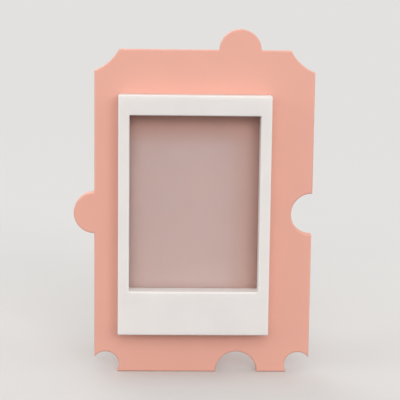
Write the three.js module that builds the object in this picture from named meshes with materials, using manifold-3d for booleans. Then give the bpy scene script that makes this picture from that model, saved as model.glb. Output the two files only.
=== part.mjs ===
// A magnetic photo frame: a jigsaw-shaped board that stands upright, and a white frame
// that magnets hold on its front, with a print between the two.
// Millimetres, +Z up, front towards -Y, origin on the floor under the middle of the whole object.
import * as THREE from 'three';
import { mergeVertices } from 'three/addons/utils/BufferGeometryUtils.js';
import Module from 'manifold-3d';

const wasm = await Module();
wasm.setup();

// Board outline
const BOARD_WIDTH = 78.4;
const BOARD_HEIGHT = 117.2;
const BOARD_DEPTH = 5;
const EDGE_ROUND = 0.5;
const TAB_RADIUS = 7.4;
const NOTCH_CLEARANCE = 0.15;
const TOP_TAB_SHARE = 0.66;
const TOP_CUT_RADIUS = 16.6;
const TOP_CUT_OUT = 5.9;
const TOP_CUT_UP = 7.9;
const FOOT_CUT_RADIUS = 4.95;
const FOOT_CUT_IN = 4.0;
const FOOT_CUT_UP = 2.45;

// Board shell and rear cover
const FACE_THICKNESS = 2.2;
const RIM_THICKNESS = 1.8;
const COVER_THICKNESS = 1.4;
const COVER_CLEARANCE = 0.2;
const SEAT_DEPTH = 0.8;
const SEAT_CLEARANCE = 0.3;
const BOSS_RADIUS = 2.3;
const BOSS_CLEARANCE = 0.1;
const TOP_SCREW_INSET = 9;
const FOOT_SCREW_INSET = 11;

// White frame, for a mini instant print of 54 x 86
const FRAME_WIDTH = 54;
const FRAME_HEIGHT = 86;
const FRAME_PROUD = 7.7;
const FRAME_ROUND = 0.4;
const FRAME_SHIFT = -3.5;
const PRINT_GAP = 0.3;
const WINDOW_WIDTH = 46.2;
const WINDOW_HEIGHT = 63.0;
const TOP_RAIL = 7.1;

// Pane and the tape that holds it in the step behind the window
const PANE_LAP = 1.4;
const PANE_THICKNESS = 1.0;
const PANE_CLEARANCE = 0.2;
const TAPE_THICKNESS = 0.2;
const TAPE_SETBACK = 0.4;
const STICK_GAP = 0.05;

// Disc magnets
const MAGNET_RADIUS = 1.5;
const FRAME_MAGNET_DEPTH = 2;
const MAGNET_CLEARANCE = 0.15;
const MAGNET_RING_WALL = 1.0;
const MAGNET_INSET = 7;

// Countersunk cover screws
const SCREW_HEAD_RADIUS = 1.8;
const SCREW_HEAD_DEPTH = 0.9;
const SCREW_RADIUS = 0.8;
const SCREW_LENGTH = 3.2;
const SCREW_CLEARANCE = 0.2;

// Die-cast stand fin on its upright hinge
const FIN_REACH = 27;
const FIN_THICKNESS = 2;
const FIN_TOP = 60;
const FIN_TOP_WIDTH = 4;
const FIN_HEEL_HEIGHT = 14;
const FIN_CORNER = 3;
const PIN_RADIUS = 1;
const PIN_STICK_OUT = 0.3;
const PIN_CLEARANCE = 0.15;
const KNUCKLE_RADIUS = 2.7;
const KNUCKLE_CLEARANCE = 0.25;
const KNUCKLE_SETBACK = 0.5;
const LUG_RADIUS = 3.0;
const LUG_HEIGHT = 8;
const LUG_FOOT = 12;
const KNUCKLE_HEIGHT = 32;
const WASHER_RADIUS = 2.5;
const WASHER_THICKNESS = 0.6;
const HINGE_GAP = 0.3;

// Soft shoe on the fin's heel
const SHOE_LENGTH = 9;
const SHOE_HEIGHT = 5;
const SHOE_SOLE = 1.2;
const SHOE_WALL = 1.1;
const SHOE_CLEARANCE = 0.15;

// How finely round stretches are cut
const OUTLINE_STEPS = 8;
const ROUND_STEPS = 2;
const DISC_SIDES = 24;
const MERGE_TOLERANCE = 1e-4;

// How far a cutter runs past a face, and a joined piece into its neighbour
const OVERRUN = 1;
const JOIN_LAP = 0.5;

// Places worked out from the sizes above
const NOTCH_RADIUS = TAB_RADIUS + NOTCH_CLEARANCE;
const LEFT = TAB_RADIUS - (BOARD_WIDTH + TAB_RADIUS) / 2;
const RIGHT = LEFT + BOARD_WIDTH;
const MIDDLE_HEIGHT = BOARD_HEIGHT / 2;
const TAB_X = LEFT + TOP_TAB_SHARE * BOARD_WIDTH;
const WHOLE_DEPTH = FRAME_PROUD + BOARD_DEPTH + FIN_REACH;
const FRAME_FRONT = -WHOLE_DEPTH / 2;
const BOARD_FRONT = FRAME_FRONT + FRAME_PROUD;
const BOARD_BACK = BOARD_FRONT + BOARD_DEPTH;
const SEAT_FLOOR = BOARD_FRONT + SEAT_DEPTH;
const FACE_BACK = BOARD_FRONT + FACE_THICKNESS;
const COVER_FRONT = BOARD_BACK - COVER_THICKNESS;
const BOARD_MAGNET_DEPTH = COVER_FRONT - FACE_BACK - 2 * MAGNET_CLEARANCE;
const FRAME_BACK = SEAT_FLOOR - PRINT_GAP;
const FRAME_X = (LEFT + RIGHT) / 2 + FRAME_SHIFT;
const FRAME_FOOT = (BOARD_HEIGHT - FRAME_HEIGHT) / 2;
const FRAME_TOP = FRAME_FOOT + FRAME_HEIGHT;
const WINDOW_TOP = FRAME_TOP - TOP_RAIL;
const WINDOW_FOOT = WINDOW_TOP - WINDOW_HEIGHT;
const WINDOW_Z = (WINDOW_TOP + WINDOW_FOOT) / 2;
const STEP_LAP = PANE_LAP + PANE_CLEARANCE;
const PANE_BACK = FRAME_BACK - PANE_CLEARANCE;
const PANE_FRONT = PANE_BACK - PANE_THICKNESS;
const TAPE_BACK = PANE_FRONT - STICK_GAP;
const TAPE_FRONT = TAPE_BACK - TAPE_THICKNESS;
const STEP_FRONT = TAPE_FRONT - STICK_GAP;
const HINGE_X = FRAME_X;
const PIN_OFFSET = KNUCKLE_RADIUS + KNUCKLE_SETBACK;
const HINGE_Y = BOARD_BACK + PIN_OFFSET;
const KNUCKLE_FOOT = LUG_FOOT + LUG_HEIGHT + 2 * HINGE_GAP + WASHER_THICKNESS;
const KNUCKLE_TOP = KNUCKLE_FOOT + KNUCKLE_HEIGHT;
const UPPER_LUG_FOOT = KNUCKLE_TOP + 2 * HINGE_GAP + WASHER_THICKNESS;
const UPPER_LUG_TOP = UPPER_LUG_FOOT + LUG_HEIGHT;
const FIN_BACK = FIN_REACH - PIN_OFFSET;
const FIN_ROOT = LUG_RADIUS + HINGE_GAP;
const FIN_FOOT = SHOE_SOLE + SHOE_CLEARANCE;

const MAGNET_LEFT = FRAME_X - FRAME_WIDTH / 2 + MAGNET_INSET;
const MAGNET_RIGHT = FRAME_X + FRAME_WIDTH / 2 - MAGNET_INSET;
const MAGNET_TOP = (FRAME_TOP + WINDOW_TOP + STEP_LAP) / 2;
const MAGNET_FOOT = (FRAME_FOOT + WINDOW_FOOT - STEP_LAP) / 2;
const MAGNET_PLACES = [
  { place: 'top_left', x: MAGNET_LEFT, z: MAGNET_TOP },
  { place: 'top_right', x: MAGNET_RIGHT, z: MAGNET_TOP },
  { place: 'foot_left', x: MAGNET_LEFT, z: MAGNET_FOOT },
  { place: 'foot_right', x: MAGNET_RIGHT, z: MAGNET_FOOT },
];
const SCREW_PLACES = [
  { place: 'top_left', x: LEFT + TOP_SCREW_INSET, z: BOARD_HEIGHT - TOP_SCREW_INSET },
  { place: 'top_right', x: RIGHT - TOP_SCREW_INSET, z: BOARD_HEIGHT - TOP_SCREW_INSET },
  { place: 'foot_left', x: LEFT + FOOT_SCREW_INSET, z: FOOT_SCREW_INSET },
  { place: 'foot_right', x: RIGHT - FOOT_SCREW_INSET, z: FOOT_SCREW_INSET },
];

// Materials
const material = (color, roughness, metalness = 0) =>
  new THREE.MeshStandardMaterial({ color, roughness, metalness });
const pinkPlastic = () => material('#e9ac99', 0.55);
const pinkPaint = () => material('#e6a995', 0.45);
const whitePlastic = () => material('#e9e4de', 0.5);
const clearPane = () => {
  const pane = material('#d9d0cc', 0.35);
  pane.transparent = true;
  pane.opacity = 0.45;
  return pane;
};
const tapeFilm = () => material('#d8d4c8', 0.7);
const nickel = () => material('#b9b7b2', 0.3, 1);
const steel = () => material('#9c9b98', 0.35, 1);
const rubber = () => material('#4a4645', 0.9);
const nylon = () => material('#e6e2d8', 0.6);

// Solids for cutting and joining
function solidOf(geometry) {
  const bare = geometry.index ? geometry.toNonIndexed() : geometry.clone();
  bare.deleteAttribute('normal');
  bare.deleteAttribute('uv');
  const merged = mergeVertices(bare, MERGE_TOLERANCE);
  return new wasm.Manifold(new wasm.Mesh({
    numProp: 3,
    vertProperties: new Float32Array(merged.attributes.position.array),
    triVerts: new Uint32Array(merged.index.array),
  }));
}

function geometryOf(solid) {
  const mesh = solid.getMesh();
  const geometry = new THREE.BufferGeometry();
  geometry.setAttribute('position', new THREE.BufferAttribute(mesh.vertProperties, 3));
  geometry.setIndex(new THREE.BufferAttribute(mesh.triVerts, 1));
  geometry.computeVertexNormals();
  return geometry;
}

// A flat shape drawn in X and Z, thick from front to back along Y, with its edges rounded
function plate(shape, front, back, round = 0) {
  const geometry = new THREE.ExtrudeGeometry(shape, {
    depth: back - front - 2 * round,
    curveSegments: OUTLINE_STEPS,
    bevelEnabled: round > 0,
    bevelThickness: round,
    bevelSize: round,
    bevelOffset: -round,
    bevelSegments: ROUND_STEPS,
  });
  return geometry.rotateX(Math.PI / 2).translate(0, back - round, 0);
}

function block(x0, x1, y0, y1, z0, z1) {
  const box = new THREE.BoxGeometry(x1 - x0, y1 - y0, z1 - z0);
  return box.translate((x0 + x1) / 2, (y0 + y1) / 2, (z0 + z1) / 2);
}

// A disc whose axis runs along Y
function disc(radius, x, z, front, back) {
  const cylinder = new THREE.CylinderGeometry(radius, radius, back - front, DISC_SIDES);
  return cylinder.translate(x, (front + back) / 2, z);
}

// A round bar whose axis runs along Z
function post(radius, x, y, foot, top) {
  const cylinder = new THREE.CylinderGeometry(radius, radius, top - foot, DISC_SIDES);
  return cylinder.rotateX(Math.PI / 2).translate(x, y, (foot + top) / 2);
}

function rectangle(target, x, z, width, height) {
  target.moveTo(x - width / 2, z - height / 2);
  target.lineTo(x + width / 2, z - height / 2);
  target.lineTo(x + width / 2, z + height / 2);
  target.lineTo(x - width / 2, z + height / 2);
  target.closePath();
  return target;
}

// Jigsaw outline, moved inwards by inset: tabs on the left and the top, notches on the right
// and the foot, hollow cuts at the top corners and round cuts at the foot corners
function boardOutline(inset) {
  const left = LEFT + inset;
  const right = RIGHT - inset;
  const foot = inset;
  const top = BOARD_HEIGHT - inset;
  const tab = TAB_RADIUS - inset;
  const notch = NOTCH_RADIUS + inset;
  const topCut = TOP_CUT_RADIUS + inset;
  const footCut = FOOT_CUT_RADIUS + inset;
  const tabDip = Math.asin(inset / tab);
  const notchDip = Math.asin(inset / notch);
  const sideAngle = Math.asin((TOP_CUT_OUT + inset) / topCut);
  const topAngle = Math.asin((TOP_CUT_UP + inset) / topCut);
  const footAngle = Math.asin((FOOT_CUT_UP - foot) / footCut);
  const footSideAngle = Math.acos((FOOT_CUT_IN - inset) / footCut);
  const cutTop = BOARD_HEIGHT + TOP_CUT_UP;
  const half = Math.PI / 2;
  const shape = new THREE.Shape();
  const footStart = LEFT + FOOT_CUT_IN + footCut * Math.cos(footAngle);
  shape.moveTo(footStart, foot);
  shape.lineTo(TAB_X - notch * Math.cos(notchDip), foot);
  shape.absarc(TAB_X, 0, notch, Math.PI - notchDip, notchDip, true);
  shape.absarc(RIGHT - FOOT_CUT_IN, FOOT_CUT_UP, footCut, Math.PI + footAngle, footSideAngle, true);
  shape.lineTo(right, MIDDLE_HEIGHT - notch * Math.cos(notchDip));
  shape.absarc(RIGHT, MIDDLE_HEIGHT, notch, 3 * half - notchDip, half + notchDip, true);
  shape.absarc(RIGHT + TOP_CUT_OUT, cutTop, topCut, 3 * half - sideAngle, Math.PI + topAngle, true);
  shape.lineTo(TAB_X + tab * Math.cos(tabDip), top);
  shape.absarc(TAB_X, BOARD_HEIGHT, tab, -tabDip, Math.PI + tabDip, false);
  shape.absarc(LEFT - TOP_CUT_OUT, cutTop, topCut, -topAngle, sideAngle - half, true);
  shape.lineTo(left, MIDDLE_HEIGHT + tab * Math.cos(tabDip));
  shape.absarc(LEFT, MIDDLE_HEIGHT, tab, half - tabDip, 3 * half + tabDip, false);
  shape.absarc(LEFT + FOOT_CUT_IN, FOOT_CUT_UP, footCut, Math.PI - footSideAngle, -footAngle, true);
  return shape;
}

// Pink front shell: face, rim, print seat, screw bosses and magnet rings
function boardShell() {
  const body = solidOf(plate(boardOutline(0), BOARD_FRONT, BOARD_BACK, EDGE_ROUND));
  const hollow = solidOf(plate(boardOutline(RIM_THICKNESS), FACE_BACK, BOARD_BACK + OVERRUN));
  const seatHalf = FRAME_WIDTH / 2 + SEAT_CLEARANCE;
  const seat = solidOf(block(
    FRAME_X - seatHalf, FRAME_X + seatHalf,
    BOARD_FRONT - OVERRUN, SEAT_FLOOR,
    FRAME_FOOT - SEAT_CLEARANCE, FRAME_TOP + SEAT_CLEARANCE,
  ));
  let shell = body.subtract(hollow).subtract(seat);
  const bossBack = COVER_FRONT - BOSS_CLEARANCE;
  const pilotFront = BOARD_BACK - SCREW_LENGTH - SCREW_CLEARANCE;
  for (const { x, z } of SCREW_PLACES) {
    const boss = solidOf(disc(BOSS_RADIUS, x, z, FACE_BACK - JOIN_LAP, bossBack));
    const pilot = solidOf(disc(SCREW_RADIUS + SCREW_CLEARANCE, x, z, pilotFront, BOARD_BACK));
    shell = shell.add(boss).subtract(pilot);
  }
  const ringBore = MAGNET_RADIUS + MAGNET_CLEARANCE;
  for (const { x, z } of MAGNET_PLACES) {
    const ring = solidOf(disc(ringBore + MAGNET_RING_WALL, x, z, FACE_BACK - JOIN_LAP, bossBack));
    const bore = solidOf(disc(ringBore, x, z, FACE_BACK, BOARD_BACK));
    shell = shell.add(ring).subtract(bore);
  }
  return geometryOf(shell);
}

// Hinge lug standing out behind the cover, round at its end
function lug(foot, height) {
  const wall = block(
    HINGE_X - LUG_RADIUS, HINGE_X + LUG_RADIUS,
    COVER_FRONT + COVER_THICKNESS / 2, HINGE_Y,
    foot, foot + height,
  );
  return solidOf(wall).add(solidOf(post(LUG_RADIUS, HINGE_X, HINGE_Y, foot, foot + height)));
}

function rearCover() {
  const outline = boardOutline(RIM_THICKNESS + COVER_CLEARANCE);
  let cover = solidOf(plate(outline, COVER_FRONT, BOARD_BACK));
  cover = cover.add(lug(LUG_FOOT, LUG_HEIGHT)).add(lug(UPPER_LUG_FOOT, LUG_HEIGHT));
  const pinBore = post(PIN_RADIUS + PIN_CLEARANCE, HINGE_X, HINGE_Y, 0, BOARD_HEIGHT);
  cover = cover.subtract(solidOf(pinBore));
  for (const { x, z } of SCREW_PLACES) {
    cover = cover.subtract(solidOf(screwShape(x, z, SCREW_CLEARANCE, SCREW_CLEARANCE)));
  }
  return geometryOf(cover);
}

// Countersunk screw, or with grow and rise the larger hole that clears it
function screwShape(x, z, grow = 0, rise = 0) {
  const profile = [
    new THREE.Vector2(0, -SCREW_LENGTH),
    new THREE.Vector2(SCREW_RADIUS + grow, -SCREW_LENGTH),
    new THREE.Vector2(SCREW_RADIUS + grow, -SCREW_HEAD_DEPTH),
    new THREE.Vector2(SCREW_HEAD_RADIUS + grow, 0),
    new THREE.Vector2(SCREW_HEAD_RADIUS + grow, rise),
    new THREE.Vector2(0, rise),
  ];
  const points = profile.filter((point, at) => at === 0 || !point.equals(profile[at - 1]));
  return new THREE.LatheGeometry(points, DISC_SIDES).translate(x, BOARD_BACK, z);
}

// White frame: window, step for the pane and pockets for the magnets
function frontFrame() {
  const shape = rectangle(new THREE.Shape(), FRAME_X, MIDDLE_HEIGHT, FRAME_WIDTH, FRAME_HEIGHT);
  shape.holes.push(rectangle(new THREE.Path(), FRAME_X, WINDOW_Z, WINDOW_WIDTH, WINDOW_HEIGHT));
  const step = solidOf(block(
    FRAME_X - WINDOW_WIDTH / 2 - STEP_LAP, FRAME_X + WINDOW_WIDTH / 2 + STEP_LAP,
    STEP_FRONT, FRAME_BACK + OVERRUN,
    WINDOW_FOOT - STEP_LAP, WINDOW_TOP + STEP_LAP,
  ));
  let frame = solidOf(plate(shape, FRAME_FRONT, FRAME_BACK, FRAME_ROUND)).subtract(step);
  const pocketFront = FRAME_BACK - FRAME_MAGNET_DEPTH - 2 * MAGNET_CLEARANCE;
  for (const { x, z } of MAGNET_PLACES) {
    const pocket = disc(MAGNET_RADIUS + MAGNET_CLEARANCE, x, z, pocketFront, FRAME_BACK + OVERRUN);
    frame = frame.subtract(solidOf(pocket));
  }
  return geometryOf(frame);
}

function paneTape() {
  const width = WINDOW_WIDTH + 2 * PANE_LAP;
  const height = WINDOW_HEIGHT + 2 * PANE_LAP;
  const shape = rectangle(new THREE.Shape(), FRAME_X, WINDOW_Z, width, height);
  const opening = rectangle(
    new THREE.Path(), FRAME_X, WINDOW_Z,
    WINDOW_WIDTH + 2 * TAPE_SETBACK, WINDOW_HEIGHT + 2 * TAPE_SETBACK,
  );
  shape.holes.push(opening);
  return plate(shape, TAPE_FRONT, TAPE_BACK);
}

function windowPane() {
  return block(
    FRAME_X - WINDOW_WIDTH / 2 - PANE_LAP, FRAME_X + WINDOW_WIDTH / 2 + PANE_LAP,
    PANE_FRONT, PANE_BACK,
    WINDOW_FOOT - PANE_LAP, WINDOW_TOP + PANE_LAP,
  );
}

// A shape drawn in Y and Z from the hinge axis, thick along X
function upright(shape, thickness) {
  const geometry = new THREE.ExtrudeGeometry(shape, {
    depth: thickness, curveSegments: OUTLINE_STEPS, bevelEnabled: false,
  });
  geometry.translate(0, 0, -thickness / 2);
  geometry.rotateX(Math.PI / 2).rotateZ(Math.PI / 2);
  return geometry.translate(HINGE_X, HINGE_Y, 0);
}

// Stand fin: a sloping blade with gaps for the lugs, a hollow knuckle and a heel that stops it square
function standFin() {
  const top = new THREE.Vector2(FIN_ROOT + FIN_TOP_WIDTH, FIN_TOP);
  const heel = new THREE.Vector2(FIN_BACK, FIN_HEEL_HEIGHT);
  const slope = heel.clone().sub(top).setLength(FIN_CORNER);
  const blade = new THREE.Shape();
  blade.moveTo(FIN_ROOT, FIN_FOOT);
  blade.lineTo(FIN_BACK, FIN_FOOT);
  blade.lineTo(heel.x, heel.y - FIN_CORNER);
  blade.quadraticCurveTo(heel.x, heel.y, heel.x - slope.x, heel.y - slope.y);
  blade.lineTo(top.x + slope.x, top.y + slope.y);
  blade.quadraticCurveTo(top.x, top.y, top.x - FIN_CORNER, top.y);
  blade.lineTo(FIN_ROOT, FIN_TOP);
  blade.lineTo(FIN_ROOT, KNUCKLE_TOP);
  blade.lineTo(0, KNUCKLE_TOP);
  blade.lineTo(0, KNUCKLE_FOOT);
  blade.lineTo(FIN_ROOT, KNUCKLE_FOOT);
  blade.closePath();
  const barrel = post(KNUCKLE_RADIUS, HINGE_X, HINGE_Y, KNUCKLE_FOOT, KNUCKLE_TOP);
  const stop = block(
    HINGE_X, HINGE_X + KNUCKLE_RADIUS,
    BOARD_BACK + HINGE_GAP, HINGE_Y,
    KNUCKLE_FOOT, KNUCKLE_TOP,
  );
  const bore = post(PIN_RADIUS + KNUCKLE_CLEARANCE, HINGE_X, HINGE_Y, 0, BOARD_HEIGHT);
  const fin = solidOf(upright(blade, FIN_THICKNESS)).add(solidOf(barrel)).add(solidOf(stop));
  return geometryOf(fin.subtract(solidOf(bore)));
}

// Soft shoe: a trough along Y that the fin's heel stands in
function heelShoe() {
  const inner = FIN_THICKNESS / 2 + SHOE_CLEARANCE;
  const outer = inner + SHOE_WALL;
  const section = new THREE.Shape();
  section.moveTo(-outer, 0);
  section.lineTo(outer, 0);
  section.lineTo(outer, SHOE_HEIGHT);
  section.lineTo(inner, SHOE_HEIGHT);
  section.lineTo(inner, SHOE_SOLE);
  section.lineTo(-inner, SHOE_SOLE);
  section.lineTo(-inner, SHOE_HEIGHT);
  section.lineTo(-outer, SHOE_HEIGHT);
  section.closePath();
  const back = HINGE_Y + FIN_BACK;
  return plate(section, back - SHOE_LENGTH, back).translate(HINGE_X, 0, 0);
}

function hingeWasher(foot) {
  const ring = new THREE.Shape();
  ring.absarc(0, 0, WASHER_RADIUS, 0, 2 * Math.PI, false);
  const hole = new THREE.Path();
  hole.absarc(0, 0, PIN_RADIUS + KNUCKLE_CLEARANCE, 0, 2 * Math.PI, true);
  ring.holes.push(hole);
  const geometry = new THREE.ExtrudeGeometry(ring, {
    depth: WASHER_THICKNESS, curveSegments: DISC_SIDES / 2, bevelEnabled: false,
  });
  return geometry.translate(HINGE_X, HINGE_Y, foot);
}

// The assembly
const photoFrame = new THREE.Group();

function addPiece(name, geometry, look) {
  const mesh = new THREE.Mesh(geometry, look);
  mesh.name = name;
  photoFrame.add(mesh);
}

addPiece('board_shell', boardShell(), pinkPlastic());
addPiece('rear_cover', rearCover(), pinkPlastic());
addPiece('front_frame', frontFrame(), whitePlastic());
addPiece('window_pane', windowPane(), clearPane());
addPiece('pane_tape', paneTape(), tapeFilm());

const frameMagnetBack = FRAME_BACK - MAGNET_CLEARANCE;
const boardMagnetFront = FACE_BACK + MAGNET_CLEARANCE;
for (const { place, x, z } of MAGNET_PLACES) {
  const held = disc(MAGNET_RADIUS, x, z, frameMagnetBack - FRAME_MAGNET_DEPTH, frameMagnetBack);
  const facing = disc(MAGNET_RADIUS, x, z, boardMagnetFront, boardMagnetFront + BOARD_MAGNET_DEPTH);
  addPiece(`frame_magnet_${place}`, held, nickel());
  addPiece(`board_magnet_${place}`, facing, nickel());
}
for (const { place, x, z } of SCREW_PLACES) {
  addPiece(`cover_screw_${place}`, screwShape(x, z), steel());
}

addPiece('stand_fin', standFin(), pinkPaint());
addPiece('fin_heel_shoe', heelShoe(), rubber());
addPiece('hinge_washer_lower', hingeWasher(LUG_FOOT + LUG_HEIGHT + HINGE_GAP), nylon());
addPiece('hinge_washer_upper', hingeWasher(KNUCKLE_TOP + HINGE_GAP), nylon());
const pinFoot = LUG_FOOT - PIN_STICK_OUT;
const pinTop = UPPER_LUG_TOP + PIN_STICK_OUT;
addPiece('stand_hinge_pin', post(PIN_RADIUS, HINGE_X, HINGE_Y, pinFoot, pinTop), steel());

export default photoFrame;
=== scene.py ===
import math
from functools import partial

import bmesh
import bpy
import numpy as np
from bpy.props import FloatProperty, FloatVectorProperty, PointerProperty
from mathutils import Matrix, Vector
from mathutils.geometry import tessellate_polygon


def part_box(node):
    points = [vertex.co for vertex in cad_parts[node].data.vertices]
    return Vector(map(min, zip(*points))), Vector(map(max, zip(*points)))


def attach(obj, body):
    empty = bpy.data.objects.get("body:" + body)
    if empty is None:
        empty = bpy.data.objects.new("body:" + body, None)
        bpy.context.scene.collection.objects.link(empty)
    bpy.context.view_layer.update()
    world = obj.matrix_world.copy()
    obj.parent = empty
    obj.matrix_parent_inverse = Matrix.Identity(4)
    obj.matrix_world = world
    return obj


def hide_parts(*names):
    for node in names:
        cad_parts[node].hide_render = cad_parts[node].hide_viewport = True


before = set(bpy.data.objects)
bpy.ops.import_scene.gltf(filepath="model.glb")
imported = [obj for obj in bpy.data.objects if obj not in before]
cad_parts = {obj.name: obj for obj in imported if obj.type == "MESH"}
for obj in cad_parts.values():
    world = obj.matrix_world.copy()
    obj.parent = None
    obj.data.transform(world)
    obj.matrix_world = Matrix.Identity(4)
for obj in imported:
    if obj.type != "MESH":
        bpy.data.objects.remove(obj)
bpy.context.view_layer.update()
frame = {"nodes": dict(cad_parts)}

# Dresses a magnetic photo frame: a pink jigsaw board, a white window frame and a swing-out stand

bl_info = {
    "name": "Magnetic photo frame",
    "version": (1, 0, 0),
    "blender": (4, 5, 0),
    "location": "3D View > Sidebar > Photo frame",
    "description": "Makes the board, the window frame, the stand and a plain studio",
    "category": "Add Mesh",
}

MM = 0.001
QUARTER = math.pi / 2
CORNERS = ("top_left", "top_right", "foot_left", "foot_right")

# How finely round stretches are drawn
ARC_STEPS = 49
CORNER_STEPS = 11
EDGE_STEPS = 7
TURN_STEPS = 64

# Points closer than this become one, and edges sharper than this shade as creases
WELD = 0.0005 * MM
SHARP_ANGLE = math.radians(32)

# Width of the strip beside a rounded edge that keeps the flat face next to it shading flat
FLAT_STRIP = 0.08 * MM

# Places of the solids that the new pieces stand for
BOARD_LOW, BOARD_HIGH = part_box("board_shell")
COVER_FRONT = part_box("rear_cover")[0].y
FRAME_LOW, FRAME_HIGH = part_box("front_frame")
PANE_LOW, PANE_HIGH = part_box("window_pane")
FIN_LOW, FIN_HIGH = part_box("stand_fin")
SHOE_LOW, SHOE_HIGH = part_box("fin_heel_shoe")
PIN_LOW, PIN_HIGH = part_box("stand_hinge_pin")
LOWER_WASHER_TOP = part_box("hinge_washer_lower")[1].z
UPPER_WASHER_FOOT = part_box("hinge_washer_upper")[0].z
HINGE_X = (PIN_LOW.x + PIN_HIGH.x) / 2
HINGE_Y = (PIN_LOW.y + PIN_HIGH.y) / 2
PIN_RADIUS = (PIN_HIGH.x - PIN_LOW.x) / 2

# Share of a face of the pane that its haze covers, and its brightness, at the rails and in the middle; the
# haze's colour is darkened towards the rails as painted shade. Then for each side the axis, where the haze is
# least and where it is full; the haze is thinnest and darkest under the top rail and beside the right one,
# where the rails' shade falls
HAZE_COVER = (0.12, 0.3)
HAZE_PAINTED_SHADE = (0.45, 1.0)
HAZE_AND_SHADE_RAMPS = (
    ("X", PANE_LOW.x - 12 * MM, PANE_LOW.x + 9 * MM),
    ("X", PANE_HIGH.x + 6 * MM, PANE_HIGH.x - 16 * MM),
    ("Z", PANE_LOW.z - 10 * MM, PANE_LOW.z + 6 * MM),
    ("Z", PANE_HIGH.z - 1.6 * MM, PANE_HIGH.z - 15 * MM),
)

# Lights: name, turn to the right of the front, elevation and spread in degrees, and strength
LIGHTS = (
    ("Right key", 22, 20, 20, 0.66),
    ("Left key", -16, 18, 20, 0.28),
    ("Right side", 72, 18, 30, 0.32),
    ("Left side", -72, 18, 30, 0.46),
    ("Upper key", 0, 34, 24, 0.43),
    ("Overhead", 0, 80, 40, 0.13),
    ("Rear fill", 200, 28, 40, 0.6),
)
LIGHT_DISTANCE = 1.0

# Strength of the even light from all round
WORLD_LIGHT = 0.8

# Floor: its radius, how far it lies below the board's foot, the share of light that it throws back,
# and the distances at which it starts and ends fading into the backdrop
FLOOR_RADIUS = 6.0
FLOOR_DROP = 0.02 * MM
FLOOR_BOUNCE = 0.4
FLOOR_FADE = (0.2, 0.8)

# Camera: width of the sensor in millimetres, and the nearest thing that it shows
SENSOR_WIDTH = 36
NEAREST = 0.01

# Stretches of a noise's values over which a colour or a roughness runs from end to end, and how many
# finer noises lie over each
MOTTLE_STRETCH = (0.3, 0.7)
MOTTLE_DETAIL = 3.0
GRAIN_STRETCH = (0.25, 0.75)
GRAIN_DETAIL = 2.0

# A mix node's sockets for colours: the two that go in, and the one that comes out
MIX_FIRST, MIX_SECOND, MIX_RESULT = 6, 7, 2

# Fineness of a screw's head: rings over its face, and the width of the step at the cross's edge
HEAD_RINGS = 29
CROSS_STEP = 0.08 * MM


def linear(code):
    """Turns an sRGB hex colour into linear red, green and blue, by the curve that defines sRGB."""
    srgb = np.array([int(code[at:at + 2], 16) / 255 for at in (1, 3, 5)])
    return tuple(np.where(srgb <= 0.04045, srgb / 12.92, ((srgb + 0.055) / 1.055) ** 2.4).tolist())


def length(name, description, millimetres):
    """A length, which the sidebar shows in the scene's unit."""
    return FloatProperty(
        name=name, description=description, default=millimetres * MM, unit="LENGTH", precision=5,
    )


def colour(name, description, code):
    """A colour, given as sRGB hex and kept as linear values."""
    return FloatVectorProperty(
        name=name, description=description, default=linear(code), size=3, subtype="COLOR", min=0, max=1,
    )


class BoardSizes(bpy.types.PropertyGroup):
    """Sizes of the jigsaw board"""

    edge_round: length("Edge round", "Radius along the board's edges", 0.5)
    tab_radius: length("Tab radius", "Radius of the two tabs", 7.4)
    notch_radius: length("Notch radius", "Radius of the two notches", 7.55)
    tab_share: FloatProperty(
        name="Tab place", description="Share of the width at which the top tab stands",
        default=0.66, subtype="FACTOR", min=0, max=1,
    )
    top_cut_radius: length("Top cut radius", "Radius of the hollow cut at each top corner", 16.6)
    top_cut_out: length("Top cut out", "How far outside the board that cut's centre lies", 5.9)
    top_cut_up: length("Top cut up", "How far above the board that cut's centre lies", 7.9)
    foot_cut_radius: length("Foot cut radius", "Radius of the round cut at each foot corner", 4.95)
    foot_cut_in: length("Foot cut in", "How far inside the board's side that cut's centre lies", 4.0)
    foot_cut_up: length("Foot cut up", "How far above the floor that cut's centre lies", 2.45)
    face: length("Face", "Thickness of the front face", 2.2)
    rim: length("Rim", "Thickness of the rim round the back", 1.8)
    lip_round: length("Lip round", "Radius along the small inner edges", 0.1)
    seat_depth: length("Seat depth", "Depth of the seat that the print lies in", 0.8)
    seat_clearance: length("Seat clearance", "Gap round the white frame in its seat", 0.03)
    seat_lip: length("Seat lip", "Radius along the seat's edge", 0.04)
    seat_corner: length("Seat corner", "Radius of the seat's corners", 0.4)
    boss_radius: length("Boss radius", "Radius of a screw boss", 2.3)
    ring_wall: length("Ring wall", "Thickness of the ring round a board magnet", 1.0)
    post_gap: length("Post gap", "Gap between a boss or a ring and the rear cover", 0.1)
    cover_gap: length("Cover gap", "Gap between the rim and the rear cover", 0.2)
    screw_sink: length("Screw sink", "Depth of a cover screw's cone", 0.9)
    screw_shank: length("Screw shank", "Radius of a cover screw's shank", 0.8)
    screw_gap: length("Screw gap", "Gap round a cover screw", 0.2)
    cross_reach: length("Cross reach", "Half the length of the cross in a screw's head", 1.05)
    cross_half: length("Cross half width", "Half the width of an arm of that cross", 0.24)
    cross_depth: length("Cross depth", "Depth of that cross", 0.5)


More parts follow.
